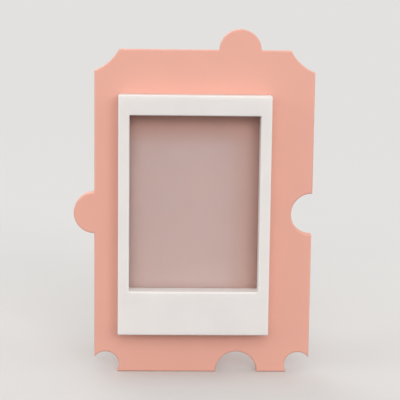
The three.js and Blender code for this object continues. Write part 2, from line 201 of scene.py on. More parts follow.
class FrameSizes(bpy.types.PropertyGroup):
    """Sizes of the white window frame"""

    edge_round: length("Edge round", "Radius along the frame's outer edges", 0.3)
    window_round: length("Window round", "Radius along the opening's front edge", 0.4)
    corner: length("Corner", "Radius of the outer corners", 0.4)
    window_width: length("Window width", "Width of the opening", 46.2)
    window_height: length("Window height", "Height of the opening", 63.0)
    top_rail: length("Top rail", "Height of the rail above the opening", 7.1)
    window_corner: length("Window corner", "Radius of the opening's corners", 0.4)
    step_lap: length("Step lap", "How far the pane's step runs behind the rails", 1.6)
    step_depth: length("Step depth", "Depth of the pane's step from the back", 1.5)
    pane_round: length("Pane round", "Radius along the pane's edges", 0.12)
    pocket_gap: length("Pocket gap", "Gap round a magnet in its pocket", 0.15)
    magnet_round: length("Magnet round", "Radius along a magnet's edges", 0.2)


class StandSizes(bpy.types.PropertyGroup):
    """Sizes of the swing-out stand"""

    edge_round: length("Edge round", "Radius along the fin's edges", 0.45)
    thickness: length("Fin thickness", "Thickness of the fin's blade", 2.0)
    root: length("Fin root", "From the hinge's axis to the blade's upright front edge", 3.3)
    top_width: length("Top width", "Width of the blade at its top", 4.0)
    heel_height: length("Heel height", "Height of the blade's upright back edge", 14.0)
    heel_corner: length("Heel corner", "Radius where the slope meets the back edge", 6.0)
    top_corner: length("Top corner", "Radius at the top of the slope", 2.4)
    small_corner: length("Small corner", "Radius of the blade's other corners", 0.8)
    knuckle_radius: length("Knuckle radius", "Radius of the fin's knuckle", 2.7)
    stop_corner: length("Stop corner", "Radius on the heel that stops the fin square", 0.5)
    bore_gap: length("Bore gap", "Gap between the pin and the fin's knuckle", 0.25)
    hinge_gap: length("Hinge gap", "Gap between the hinge's other pieces", 0.3)
    lug_radius: length("Lug radius", "Radius of a hinge lug", 3.0)
    lug_height: length("Lug height", "Height of a hinge lug", 8.0)
    lug_fillet: length("Lug fillet", "Fillet where a lug leaves the cover", 0.9)
    lug_gap: length("Lug gap", "Gap between the pin and a lug", 0.15)
    pin_stick_out: length("Pin stick out", "How far the pin stands out of a lug", 0.3)
    shoe_wall: length("Shoe wall", "Thickness of the soft shoe's walls", 1.1)
    shoe_sole: length("Shoe sole", "Thickness of the soft shoe's sole", 1.2)
    shoe_corner: length("Shoe corner", "Radius along the soft shoe's edges", 0.4)


class Finishes(bpy.types.PropertyGroup):
    """Colours of the finishes"""

    board: colour("Board", "Pink of the moulded board", "#e4a694")
    frame: colour("Frame", "Warm white of the moulded frame", "#e4e0dd")
    pane: colour("Pane", "Milky haze of the frosted pane", "#d2cfcd")
    tape: colour("Tape", "Pale film of the pane's tape", "#e2ddd1")
    paint: colour("Paint", "Pink of the painted fin", "#e5a895")
    nickel: colour("Nickel", "Plating on the magnets", "#cbc6bb")
    steel: colour("Steel", "Bare steel of the pin and the screws", "#c2bfb8")
    rubber: colour("Rubber", "Dark grey of the shoe", "#474342")
    nylon: colour("Nylon", "Natural nylon of the washers", "#e8e3d6")
    floor: colour("Floor", "Pale floor", "#d3d1cf")
    backdrop: colour("Backdrop", "Pale backdrop that the floor fades into", "#e3e1df")


class Studio(bpy.types.PropertyGroup):
    """Where the camera stands"""

    elevation: FloatProperty(
        name="Elevation", description="Height of the camera above the level",
        default=math.radians(8.709), subtype="ANGLE",
    )
    turn: FloatProperty(
        name="Turn", description="Turn of the camera to the right of the front",
        default=math.radians(-1.887), subtype="ANGLE",
    )
    roll: FloatProperty(
        name="Roll", description="Roll of the camera", default=math.radians(0.706), subtype="ANGLE",
    )
    distance: length("Distance", "From the camera to the point that it looks at", 473.75)
    target_x: length("Target across", "Place across the board's front of the point that it looks at", 2.404)
    target_z: length("Target height", "Height of that point", 63.593)
    lens: FloatProperty(
        name="Lens", description="Focal length, for a sensor 36 mm wide", default=118.65, min=1,
    )


# Outlines

def arc(x, y, radius, start, end, steps=ARC_STEPS):
    """Centre plus radius times the cosine and sine of an angle that runs evenly from start to end."""
    angle = np.linspace(start, end, steps)
    return np.column_stack((x + radius * np.cos(angle), y + radius * np.sin(angle)))


def circle(x, y, radius):
    """One whole turn of an arc, without its repeated last point."""
    return arc(x, y, radius, 0, 2 * math.pi, TURN_STEPS + 1)[:-1]


def rounded_outline(corners, radius, inset=0.0):
    """Anticlockwise outline with an arc at each corner. The arc's centre lies radius away from both sides,
    inside at an outward corner and outside at an inward one; its radius loses inset at the first and gains
    it at the second, so each inset gives a parallel outline with as many points."""
    corners = np.asarray(corners, float)
    radius = np.broadcast_to(np.asarray(radius, float), len(corners))
    ahead = np.roll(corners, -1, axis=0) - corners
    ahead /= np.linalg.norm(ahead, axis=1, keepdims=True)
    behind = np.roll(ahead, 1, axis=0)
    inward_behind = np.column_stack((-behind[:, 1], behind[:, 0]))
    inward_ahead = np.column_stack((-ahead[:, 1], ahead[:, 0]))
    dot = (behind * ahead).sum(axis=1)
    turn = np.arctan2(behind[:, 0] * ahead[:, 1] - behind[:, 1] * ahead[:, 0], dot)
    side = np.sign(turn)
    centre = corners + (inward_behind + inward_ahead) * (side * radius / (1 + dot))[:, None]
    start = np.arctan2(-side * inward_behind[:, 1], -side * inward_behind[:, 0])
    angle = start[:, None] + turn[:, None] * np.linspace(0, 1, CORNER_STEPS)
    spoke = np.stack((np.cos(angle), np.sin(angle)), axis=-1) * (radius - side * inset)[:, None, None]
    return (centre[:, None, :] + spoke).reshape(-1, 2)


def rectangle(low_x, high_x, low_y, high_y):
    """Corners of an upright rectangle, anticlockwise."""
    return [(low_x, low_y), (high_x, low_y), (high_x, high_y), (low_x, high_y)]


def board_outline(sizes, inset):
    """Jigsaw outline moved in by inset: straight sides shift, the tabs lose inset from their radius, and the
    notches and corner cuts gain it. Each arc starts and ends where it meets the shifted sides."""
    left = BOARD_LOW.x + sizes.tab_radius
    right = BOARD_HIGH.x
    height = BOARD_HIGH.z - sizes.tab_radius
    middle = height / 2
    tab_x = left + sizes.tab_share * (right - left)
    tab = sizes.tab_radius - inset
    notch = sizes.notch_radius + inset
    top_cut = sizes.top_cut_radius + inset
    foot_cut = sizes.foot_cut_radius + inset
    tab_dip = math.asin(inset / tab)
    notch_dip = math.asin(inset / notch)
    side = math.asin((sizes.top_cut_out + inset) / top_cut)
    top = math.asin((sizes.top_cut_up + inset) / top_cut)
    foot = math.asin((sizes.foot_cut_up - inset) / foot_cut)
    foot_side = math.acos((sizes.foot_cut_in - inset) / foot_cut)
    cut_z = height + sizes.top_cut_up
    return np.concatenate((
        arc(tab_x, 0, notch, math.pi - notch_dip, notch_dip),
        arc(right - sizes.foot_cut_in, sizes.foot_cut_up, foot_cut, math.pi + foot, foot_side),
        arc(right, middle, notch, 3 * QUARTER - notch_dip, QUARTER + notch_dip),
        arc(right + sizes.top_cut_out, cut_z, top_cut, 3 * QUARTER - side, math.pi + top),
        arc(tab_x, height, tab, -tab_dip, math.pi + tab_dip),
        arc(left - sizes.top_cut_out, cut_z, top_cut, -top, side - QUARTER),
        arc(left, middle, tab, QUARTER - tab_dip, 3 * QUARTER + tab_dip),
        arc(left + sizes.foot_cut_in, sizes.foot_cut_up, foot_cut, math.pi - foot_side, -foot),
    ))


def low_edge(level, radius):
    """Insets and levels up the rounded edge of a slab's lower face: a quarter turn whose inset is radius
    times one less sine and whose level rises by radius times one less cosine, after a narrow flat strip."""
    turn = np.linspace(0, QUARTER, EDGE_STEPS)
    bend = np.column_stack((radius * (1 - np.sin(turn)), level + radius * (1 - np.cos(turn))))
    return np.concatenate(([(radius + FLAT_STRIP, level)], bend))


def high_edge(level, radius):
    """The same rounded edge at a slab's upper face, mirrored and taken from the side up to the face."""
    mirrored = low_edge(-level, radius)[::-1]
    return mirrored * (1, -1)


def lift(points, axis, level):
    """Flat points placed in space, at one level along the axis that they lack."""
    return np.insert(points, axis, level, axis=1)


# Surfaces

class Surface:
    """Bands and flat faces that share their rims, welded into closed meshes at the end"""

    def __init__(self):
        self.points = []
        self.faces = []
        self.count = 0

    def keep(self, points, faces):
        """Adds points and the faces between them."""
        self.points.append(points)
        self.faces.extend((faces + self.count).tolist())
        self.count += len(points)

    def band(self, loops, closed=False):
        """Grid of four-sided faces: round each loop, and from each loop to the next."""
        loops = np.asarray(loops)
        rows, columns = loops.shape[:2]
        index = np.arange(rows * columns).reshape(rows, columns)
        if closed:
            index = np.vstack((index, index[:1]))
        near = index[:-1]
        far = index[1:]
        quads = np.stack((near, np.roll(near, -1, axis=1), np.roll(far, -1, axis=1), far), axis=-1)
        self.keep(loops.reshape(-1, 3), quads.reshape(-1, 4))

    def sweep(self, outline, axis, profile):
        """Band of parallel outlines, one for each inset and level of a profile."""
        self.band([lift(outline(inset), axis, level) for inset, level in profile])

    def flat(self, axis, level, *outlines):
        """Fills the first outline, less the others, in one plane."""
        triangles = np.array(tessellate_polygon([outline.tolist() for outline in outlines]))
        self.keep(lift(np.concatenate(outlines), axis, level), triangles)

    def slab(self, outline, axis, low, high, radius, holes=()):
        """Closed slab: an outline swept from the low face to the high one with both edges rounded, and plain
        holes right through."""
        profile = np.concatenate((low_edge(low, radius), high_edge(high, radius)))
        self.sweep(outline, axis, profile)
        self.flat(axis, low, outline(profile[0][0]), *holes)
        self.flat(axis, high, outline(profile[-1][0]), *holes)
        for hole in holes:
            self.band([lift(hole, axis, low), lift(hole, axis, high)])

    def revolve(self, profile, axis, place, closed=False):
        """Turns a profile of radius and level about an axis through place. An end at radius 0 closes to a
        point, and a closed profile makes a ring."""
        radius, level = np.asarray(profile, float).T
        turn = np.linspace(0, 2 * math.pi, TURN_STEPS, endpoint=False)
        ring = np.stack((np.outer(radius, np.cos(turn)), np.outer(radius, np.sin(turn))), axis=-1)
        height = np.broadcast_to(level[:, None], ring.shape[:2])
        self.band(np.insert(ring, axis, height, axis=-1) + np.insert(np.asarray(place), axis, 0), closed)

    def disc(self, axis, place, radius, low, high, edge):
        """Closed disc turned about an axis, with both edges rounded."""
        side = np.concatenate((low_edge(low, edge), high_edge(high, edge)))
        profile = np.column_stack((radius - side[:, 0], side[:, 1]))
        self.revolve(np.concatenate(([(0, low)], profile, [(0, high)])), axis, place)

    def tube(self, axis, place, radius, bore, low, high, edge):
        """Closed ring turned about an axis, with its outer edges rounded."""
        side = np.concatenate((low_edge(low, edge), high_edge(high, edge)))
        profile = np.column_stack((radius - side[:, 0], side[:, 1]))
        self.revolve(np.concatenate(([(bore, low)], profile, [(bore, high)])), axis, place, closed=True)

    def make(self, name, material):
        """Welds the surface, turns its faces outwards and puts it in the scene."""
        mesh = bpy.data.meshes.new(name)
        mesh.from_pydata(np.concatenate(self.points).tolist(), [], self.faces)
        shape = bmesh.new()
        shape.from_mesh(mesh)
        bmesh.ops.remove_doubles(shape, verts=shape.verts, dist=WELD)
        bmesh.ops.dissolve_degenerate(shape, edges=shape.edges, dist=WELD)
        bmesh.ops.recalc_face_normals(shape, faces=shape.faces)
        shape.to_mesh(mesh)
        shape.free()
        mesh.polygons.foreach_set("use_smooth", np.ones(len(mesh.polygons), bool))
        mesh.set_sharp_from_angle(angle=SHARP_ANGLE)
        mesh.materials.append(material)
        thing = bpy.data.objects.new(name, mesh)
        bpy.context.scene.collection.objects.link(thing)
        return thing

    def piece(self, name, body, material, node):
        """Makes the piece that stands for a node, and lets it ride on a body."""
        thing = self.make(name, material)
        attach(thing, body)
        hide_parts(node)


def middle_of(node):
    """Middle of a node across and up, as the front is seen."""
    low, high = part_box(node)
    return (low.x + high.x) / 2, (low.z + high.z) / 2


# Materials

def add_node(tree, kind, sockets, **settings):
    """Adds a node. A socket takes a plain value, or another node's output to link."""
    node = tree.nodes.new(kind)
    for name, value in settings.items():
        setattr(node, name, value)
    for name, value in sockets.items():
        if isinstance(value, bpy.types.NodeSocket):
            tree.links.new(value, node.inputs[name])
        else:
            node.inputs[name].default_value = value
    return node


def per_mm(size):
    """Texture scale for features this many millimetres across."""
    return 1 / (size * MM)


def patterned(name, tint, shade, mottle, grain, bump, roughness, inputs):
    """A node material whose colour wanders from tint times shade up to tint over mottle millimetres, whose
    roughness wanders between two values, and whose surface is bumped with grain millimetres across, which
    is drawn coarser than a real mould's grain so that it shows. The shader's other inputs are plain
    values."""
    found = bpy.data.materials.get(name)
    if found:
        return found
    material = bpy.data.materials.new(name)
    material.use_nodes = True
    tree = material.node_tree
    tree.nodes.clear()
    place = add_node(tree, "ShaderNodeTexCoord", {}).outputs["Object"]
    broad = add_node(tree, "ShaderNodeTexNoise", {
        "Vector": place, "Scale": per_mm(mottle), "Detail": MOTTLE_DETAIL,
    })
    ramp = add_node(tree, "ShaderNodeValToRGB", {"Fac": broad.outputs["Fac"]})
    deep, light = ramp.color_ramp.elements
    deep.position = MOTTLE_STRETCH[0]
    deep.color = (*[channel * shade for channel in tint], 1)
    light.position = MOTTLE_STRETCH[1]
    light.color = (*tint, 1)
    fine = add_node(tree, "ShaderNodeTexNoise", {
        "Vector": place, "Scale": per_mm(grain), "Detail": GRAIN_DETAIL,
    })
    sheen = add_node(tree, "ShaderNodeMapRange", {
        "Value": fine.outputs["Fac"], "From Min": GRAIN_STRETCH[0], "From Max": GRAIN_STRETCH[1],
        "To Min": roughness[0], "To Max": roughness[1],
    })
    relief = add_node(tree, "ShaderNodeBump", {
        "Height": fine.outputs["Fac"], "Strength": 1.0, "Distance": bump * MM,
    })
    shader = add_node(tree, "ShaderNodeBsdfPrincipled", {
        "Base Color": ramp.outputs["Color"], "Roughness": sheen.outputs["Result"],
        "Normal": relief.outputs["Normal"],
    } | inputs)
    add_node(tree, "ShaderNodeOutputMaterial", {"Surface": shader.outputs["BSDF"]})
    return material


def pink_abs(finishes):
    """Pink ABS from a spark-eroded mould. Its fine grain spreads highlights to a satin sheen, and a faint
    mottle keeps the broad face from looking like flat paint."""
    return patterned(
        "Pink ABS, spark-textured moulding", finishes.board, shade=0.98,
        mottle=9, grain=0.35, bump=0.006, roughness=(0.46, 0.58), inputs={"IOR": 1.53},
    )


def white_abs(finishes):
    """White ABS from a smoother mould. It lets some light in, so its rims are brighter than its foot."""
    return patterned(
        "White ABS, spark-textured moulding", finishes.frame, shade=0.965,
        mottle=12, grain=0.35, bump=0.005, roughness=(0.4, 0.5),
        inputs={
            "IOR": 1.53,
            "Subsurface Weight": 0.6,
            "Subsurface Radius": (1.0, 1.0, 1.0),
            "Subsurface Scale": 3.0 * MM,
        },
    )


def frosted_acrylic(finishes):
    """Clear acrylic sheet with etched faces. Each face lays a thin milky haze over the pink behind it;
    towards the rails the haze thins out, and its colour is darkened there as painted shade of the rails, most
    under the top rail and beside the right one."""
    material = patterned(
        "Frosted acrylic, etched sheet", finishes.pane, shade=0.96,
        mottle=6, grain=0.3, bump=0.004, roughness=(0.42, 0.5), inputs={"IOR": 1.49},
    )
    tree = material.node_tree
    place = tree.nodes["Texture Coordinate"].outputs["Object"]
    shader = tree.nodes["Principled BSDF"]
    spot = add_node(tree, "ShaderNodeSeparateXYZ", {"Vector": place})
    share = 1.0
    for axis, least, full in HAZE_AND_SHADE_RAMPS:
        ramp = add_node(tree, "ShaderNodeMapRange", {
            "Value": spot.outputs[axis], "From Min": least, "From Max": full,
        }, interpolation_type="SMOOTHSTEP")
        product = add_node(tree, "ShaderNodeMath", {
            0: ramp.outputs["Result"], 1: share,
        }, operation="MULTIPLY")
        share = product.outputs["Value"]
    cover, level = [
        add_node(tree, "ShaderNodeMapRange", {
            "Value": share, "To Min": rails, "To Max": middle,
        }).outputs["Result"]
        for rails, middle in (HAZE_COVER, HAZE_PAINTED_SHADE)
    ]
    # Painted shade: the haze's colour is scaled down from the middle's level to the rails' level, most under
    # the top rail and beside the right one
    shaded_milk = add_node(tree, "ShaderNodeVectorMath", {
        0: tree.nodes["Color Ramp"].outputs["Color"], "Scale": level,
    }, operation="SCALE")
    tree.links.new(shaded_milk.outputs["Vector"], shader.inputs["Base Color"])
    tree.links.new(cover, shader.inputs["Alpha"])
    return material


def tape_film(finishes):
    """Double-sided film tape, slit from a roll: pale, dull and a little uneven where it wets the pane."""
    return patterned(
        "Polyester film tape, slit roll", finishes.tape, shade=0.9,
        mottle=2.5, grain=0.4, bump=0.003, roughness=(0.55, 0.7), inputs={"IOR": 1.57},
    )


def satin_paint(finishes):
    """Satin powder paint baked on a zinc die casting. Its orange peel ripples the highlights on the fin."""
    return patterned(
        "Satin powder paint on die casting", finishes.paint, shade=0.97,
        mottle=7, grain=1.4, bump=0.03, roughness=(0.36, 0.44),
        inputs={"IOR": 1.5, "Coat Weight": 0.2, "Coat Roughness": 0.25},
    )


def nickel_plate(finishes):
    """Bright nickel barrel-plated on a sintered magnet: warm grey, and faintly uneven from tumbling."""
    return patterned(
        "Nickel plate on sintered magnet", finishes.nickel, shade=0.9,
        mottle=1.5, grain=0.5, bump=0.004, roughness=(0.2, 0.32), inputs={"Metallic": 1.0},
    )


def turned_steel(finishes):
    """Steel wire, headed or cut and then tumbled, so its shine is broken up by fine dents."""
    return patterned(
        "Tumbled steel wire", finishes.steel, shade=0.8,
        mottle=1.2, grain=0.3, bump=0.004, roughness=(0.26, 0.4), inputs={"Metallic": 1.0},
    )


def moulded_rubber(finishes):
    """Compression-moulded rubber: dark, matte and finely grained, which sets the shoe off from the paint."""
    return patterned(
        "Moulded rubber", finishes.rubber, shade=0.8,
        mottle=3, grain=0.4, bump=0.02, roughness=(0.78, 0.9), inputs={"IOR": 1.52},
    )


def natural_nylon(finishes):
    """Natural nylon stamped from sheet: waxy off-white that lets a little light in."""
    return patterned(
        "Natural nylon, stamped sheet", finishes.nylon, shade=0.9,
        mottle=2, grain=0.4, bump=0.004, roughness=(0.42, 0.52),
        inputs={"IOR": 1.53, "Subsurface Weight": 0.15, "Subsurface Scale": 0.4 * MM},
    )


def matte_floor(finishes):
    """Pale matte board. It looks pale and takes the object's shadow, but throws back less light than a board
    of its colour would, so that the foot isn't lit from below. Far away it fades into the backdrop, so that
    there is nothing else to look at."""
    material = patterned(
        "Pale matte board", finishes.floor, shade=0.985,
        mottle=60, grain=2, bump=0.01, roughness=(0.75, 0.85), inputs={"Specular IOR Level": 0.2},
    )
    tree = material.node_tree
    shader = tree.nodes["Principled BSDF"]
    pale = tree.nodes["Color Ramp"].outputs["Color"]
    seen = seen_rays(tree)
    bounce = [channel * FLOOR_BOUNCE for channel in finishes.floor]
    shown = add_node(tree, "ShaderNodeMix", {
        "Factor": seen, MIX_FIRST: (*bounce, 1), MIX_SECOND: pale,
    }, data_type="RGBA")
    tree.links.new(shown.outputs[MIX_RESULT], shader.inputs["Base Color"])
    place = tree.nodes["Texture Coordinate"].outputs["Object"]
    away = add_node(tree, "ShaderNodeVectorMath", {0: place}, operation="LENGTH")
    far = add_node(tree, "ShaderNodeMapRange", {
        "Value": away.outputs["Value"], "From Min": FLOOR_FADE[0], "From Max": FLOOR_FADE[1],
    }, interpolation_type="SMOOTHSTEP")
    faded = add_node(tree, "ShaderNodeMath", {0: far.outputs["Result"], 1: seen}, operation="MULTIPLY")
    glow = add_node(tree, "ShaderNodeEmission", {"Color": (*finishes.backdrop, 1), "Strength": 1.0})
    both = add_node(tree, "ShaderNodeMixShader", {
        "Fac": faded.outputs["Value"], 1: shader.outputs["BSDF"], 2: glow.outputs["Emission"],
    })
    tree.links.new(both.outputs["Shader"], tree.nodes["Material Output"].inputs["Surface"])
    return material


def seen_rays(tree):
    """1 for rays that show a thing to the camera, by themselves or by way of metal or glass, and 0 for light
    that bounces."""
    path = add_node(tree, "ShaderNodeLightPath", {})
    straight = add_node(tree, "ShaderNodeMath", {
        0: path.outputs["Is Camera Ray"], 1: path.outputs["Is Glossy Ray"],
    }, operation="MAXIMUM")
    every = add_node(tree, "ShaderNodeMath", {
        0: straight.outputs["Value"], 1: path.outputs["Is Transmission Ray"],
    }, operation="MAXIMUM")
    return every.outputs["Value"]


# Pieces

class BoardShell(bpy.types.Operator):
    """Pink front shell. The jigsaw outline is swept along the rounded edges and over the rim into the hollow;
    the face is that outline less the seat, which is a rounded rectangle pushed in; bosses and rings are
    turned"""

    bl_idname = "photo_frame.board_shell"
    bl_label = "Board shell"

    def execute(self, context):
        sizes = context.scene.photo_frame_board
        frame_sizes = context.scene.photo_frame_frame
        front = BOARD_LOW.y
        back = BOARD_HIGH.y
        face_back = front + sizes.face
        seat_floor = front + sizes.seat_depth
        surface = Surface()
        outline = partial(board_outline, sizes)
        rim_lip = low_edge(-back, sizes.lip_round)[1:] * (-1, -1) + (sizes.rim, 0)
        profile = np.concatenate((
            low_edge(front, sizes.edge_round), high_edge(back, sizes.edge_round),
            rim_lip, [(sizes.rim, face_back)],
        ))
        surface.sweep(outline, 1, profile)
        surface.flat(1, face_back, outline(sizes.rim))

        gap = sizes.seat_clearance
        seat_corners = rectangle(
            FRAME_LOW.x - gap, FRAME_HIGH.x + gap, FRAME_LOW.z - gap, FRAME_HIGH.z + gap,
        )
        seat = partial(rounded_outline, seat_corners, sizes.seat_corner)
        seat_lip = low_edge(front, sizes.seat_lip) * (-1, 1)
        surface.sweep(seat, 1, np.concatenate((seat_lip, [(0, seat_floor)])))
        surface.flat(1, seat_floor, seat(0))
        surface.flat(1, front, outline(profile[0][0]), seat(seat_lip[0][0]))

        post_back = COVER_FRONT - sizes.post_gap
        post_front = face_back - sizes.lip_round
        for corner in CORNERS:
            pilot = sizes.screw_shank + sizes.screw_gap
            surface.tube(
                1, middle_of("cover_screw_" + corner), sizes.boss_radius, pilot,
                post_front, post_back, sizes.lip_round,
            )
            low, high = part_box("board_magnet_" + corner)
            bore = (high.x - low.x) / 2 + frame_sizes.pocket_gap
            surface.tube(
                1, middle_of("board_magnet_" + corner), bore + sizes.ring_wall, bore,
                post_front, post_back, sizes.lip_round,
            )
        material = pink_abs(context.scene.photo_frame_finishes)
        surface.piece("board_shell_look", "board", material, "board_shell")
        return {"FINISHED"}


class RearCover(bpy.types.Operator):
    """Rear cover. The jigsaw outline, moved in inside the rim, is swept from front to back with a rounded
    back edge and turned countersinks; each hinge lug is an upright slab whose outline ends round and is
    filleted into the cover"""

    bl_idname = "photo_frame.rear_cover"
    bl_label = "Rear cover"

    def execute(self, context):
        sizes = context.scene.photo_frame_board
        stand = context.scene.photo_frame_stand
        front = COVER_FRONT
        back = BOARD_HIGH.y
        surface = Surface()
        outline = partial(board_outline, sizes)
        profile = np.concatenate((low_edge(front, sizes.lip_round), high_edge(back, sizes.lip_round)))
        profile += (sizes.rim + sizes.cover_gap, 0)
        surface.sweep(outline, 1, profile)
        places = [middle_of("cover_screw_" + corner) for corner in CORNERS]
        low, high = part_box("cover_screw_" + CORNERS[0])
        head = (high.x - low.x) / 2 + sizes.screw_gap
        shank = sizes.screw_shank + sizes.screw_gap
        surface.flat(1, front, outline(profile[0][0]), *[circle(x, z, shank) for x, z in places])
        surface.flat(1, back, outline(profile[-1][0]), *[circle(x, z, head) for x, z in places])
        for place in places:
            surface.revolve([(shank, front), (shank, back - sizes.screw_sink), (head, back)], 1, place)

        radius = stand.lug_radius
        wide = radius + stand.lug_fillet
        root = (front + back) / 2
        corners = [
            (HINGE_X - wide, root), (HINGE_X + wide, root), (HINGE_X + wide, back), (HINGE_X + radius, back),
            (HINGE_X + radius, HINGE_Y + radius), (HINGE_X - radius, HINGE_Y + radius),
            (HINGE_X - radius, back), (HINGE_X - wide, back),
        ]
        radii = [0, 0, 0, stand.lug_fillet, radius, radius, stand.lug_fillet, 0]
        lug = partial(rounded_outline, corners, radii)
        bore = circle(HINGE_X, HINGE_Y, PIN_RADIUS + stand.lug_gap)
        lower = PIN_LOW.z + stand.pin_stick_out
        upper = PIN_HIGH.z - stand.pin_stick_out
        lug_edge = sizes.lip_round * 2
        surface.slab(lug, 2, lower, lower + stand.lug_height, lug_edge, [bore])
        surface.slab(lug, 2, upper - stand.lug_height, upper, lug_edge, [bore])
        material = pink_abs(context.scene.photo_frame_finishes)
        surface.piece("rear_cover_look", "board", material, "rear_cover")
        return {"FINISHED"}


class CoverScrews(bpy.types.Operator):
    """Four countersunk screws. Over a polar grid the head's face drops by the cross depth wherever two
    crossed bars cover it, with a steep smooth step at their edges; the cone and the shank are turned"""

    bl_idname = "photo_frame.cover_screws"
    bl_label = "Cover screws"

    def execute(self, context):
        sizes = context.scene.photo_frame_board
        for corner in CORNERS:
            node = "cover_screw_" + corner
            low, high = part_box(node)
            place = middle_of(node)
            head = (high.x - low.x) / 2
            turn = np.linspace(0, 2 * math.pi, TURN_STEPS, endpoint=False)
            reach = np.linspace(0, head, HEAD_RINGS)
            across = np.outer(reach, np.cos(turn))
            along = np.outer(reach, np.sin(turn))
            bar = np.maximum(abs(across) - sizes.cross_half, abs(along) - sizes.cross_reach)
            other_bar = np.maximum(abs(along) - sizes.cross_half, abs(across) - sizes.cross_reach)
            covered = np.clip(0.5 - np.minimum(bar, other_bar) / CROSS_STEP, 0, 1)
            level = high.y - sizes.cross_depth * covered
            surface = Surface()
            surface.band(np.stack((across + place[0], level, along + place[1]), axis=-1))
            tip = low.y + sizes.screw_shank / 2
            neck = high.y - sizes.screw_sink
            surface.revolve([
                (head, high.y), (sizes.screw_shank, neck), (sizes.screw_shank, tip), (0, low.y),
            ], 1, place)
            material = turned_steel(context.scene.photo_frame_finishes)
            surface.piece(node + "_look", "board", material, node)
        return {"FINISHED"}


class WindowFrame(bpy.types.Operator):
    """White window frame. Rounded rectangles are swept round the outside from the front face to the back, and
    through the window from the front face to the pane's step and on to the back; the front face is a band
    between the two, and the back has turned magnet pockets"""

    bl_idname = "photo_frame.window_frame"
    bl_label = "Window frame"

    def execute(self, context):
        sizes = context.scene.photo_frame_frame
        front = FRAME_LOW.y
        back = FRAME_HIGH.y
        step_front = back - sizes.step_depth
        middle_x = (FRAME_LOW.x + FRAME_HIGH.x) / 2
        window_top = FRAME_HIGH.z - sizes.top_rail
        window_foot = window_top - sizes.window_height
        left = middle_x - sizes.window_width / 2
        right = middle_x + sizes.window_width / 2
        outer_corners = rectangle(FRAME_LOW.x, FRAME_HIGH.x, FRAME_LOW.z, FRAME_HIGH.z)
        window_corners = rectangle(left, right, window_foot, window_top)
        surface = Surface()
        outer = partial(rounded_outline, outer_corners, sizes.corner)
        window = partial(rounded_outline, window_corners, sizes.window_corner)
        outside = np.concatenate((low_edge(front, sizes.edge_round), high_edge(back, sizes.edge_round)))
        surface.sweep(outer, 1, outside)
        inside = low_edge(front, sizes.window_round) * (-1, 1)
        step = [(0, step_front), (-sizes.step_lap, step_front), (-sizes.step_lap, back)]
        through = np.concatenate((inside, step))
        surface.sweep(window, 1, through)
        front_face = [lift(outer(outside[0][0]), 1, front), lift(window(inside[0][0]), 1, front)]
        surface.band(front_face)

        pockets = []
        for corner in CORNERS:
            low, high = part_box("frame_magnet_" + corner)
            place = middle_of("frame_magnet_" + corner)
            radius = (high.x - low.x) / 2 + sizes.pocket_gap
            pocket_floor = low.y - sizes.pocket_gap
            surface.revolve([(radius, back), (radius, pocket_floor), (0, pocket_floor)], 1, place)
            pockets.append(circle(*place, radius))
        surface.flat(1, back, outer(outside[-1][0]), window(-sizes.step_lap), *pockets)
        material = white_abs(context.scene.photo_frame_finishes)
        surface.piece("front_frame_look", "picture_frame", material, "front_frame")
        return {"FINISHED"}


class WindowPane(bpy.types.Operator):
    """Frosted pane: a rounded rectangle swept from front to back with fine rounded edges. The tape keeps its
    solid and takes a film finish"""

    bl_idname = "photo_frame.window_pane"
    bl_label = "Window pane and tape"

    def execute(self, context):
        sizes = context.scene.photo_frame_frame
        finishes = context.scene.photo_frame_finishes
        corners = rectangle(PANE_LOW.x, PANE_HIGH.x, PANE_LOW.z, PANE_HIGH.z)
        surface = Surface()
        outline = partial(rounded_outline, corners, sizes.window_corner)
        surface.slab(outline, 1, PANE_LOW.y, PANE_HIGH.y, sizes.pane_round)
        material = frosted_acrylic(finishes)
        surface.piece("window_pane_look", "picture_frame", material, "window_pane")
        tape = frame["nodes"]["pane_tape"]
        tape.data.materials.clear()
        tape.data.materials.append(tape_film(finishes))
        return {"FINISHED"}


class Magnets(bpy.types.Operator):
    """Eight disc magnets, each a rounded profile turned about its axis"""

    bl_idname = "photo_frame.magnets"
    bl_label = "Magnets"

    def execute(self, context):
        sizes = context.scene.photo_frame_frame
        for body, kind in (("picture_frame", "frame_magnet_"), ("board", "board_magnet_")):
            for corner in CORNERS:
                node = kind + corner
                low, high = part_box(node)
                surface = Surface()
                surface.disc(1, middle_of(node), (high.x - low.x) / 2, low.y, high.y, sizes.magnet_round)
                material = nickel_plate(context.scene.photo_frame_finishes)
                surface.piece(node + "_look", body, material, node)
        return {"FINISHED"}


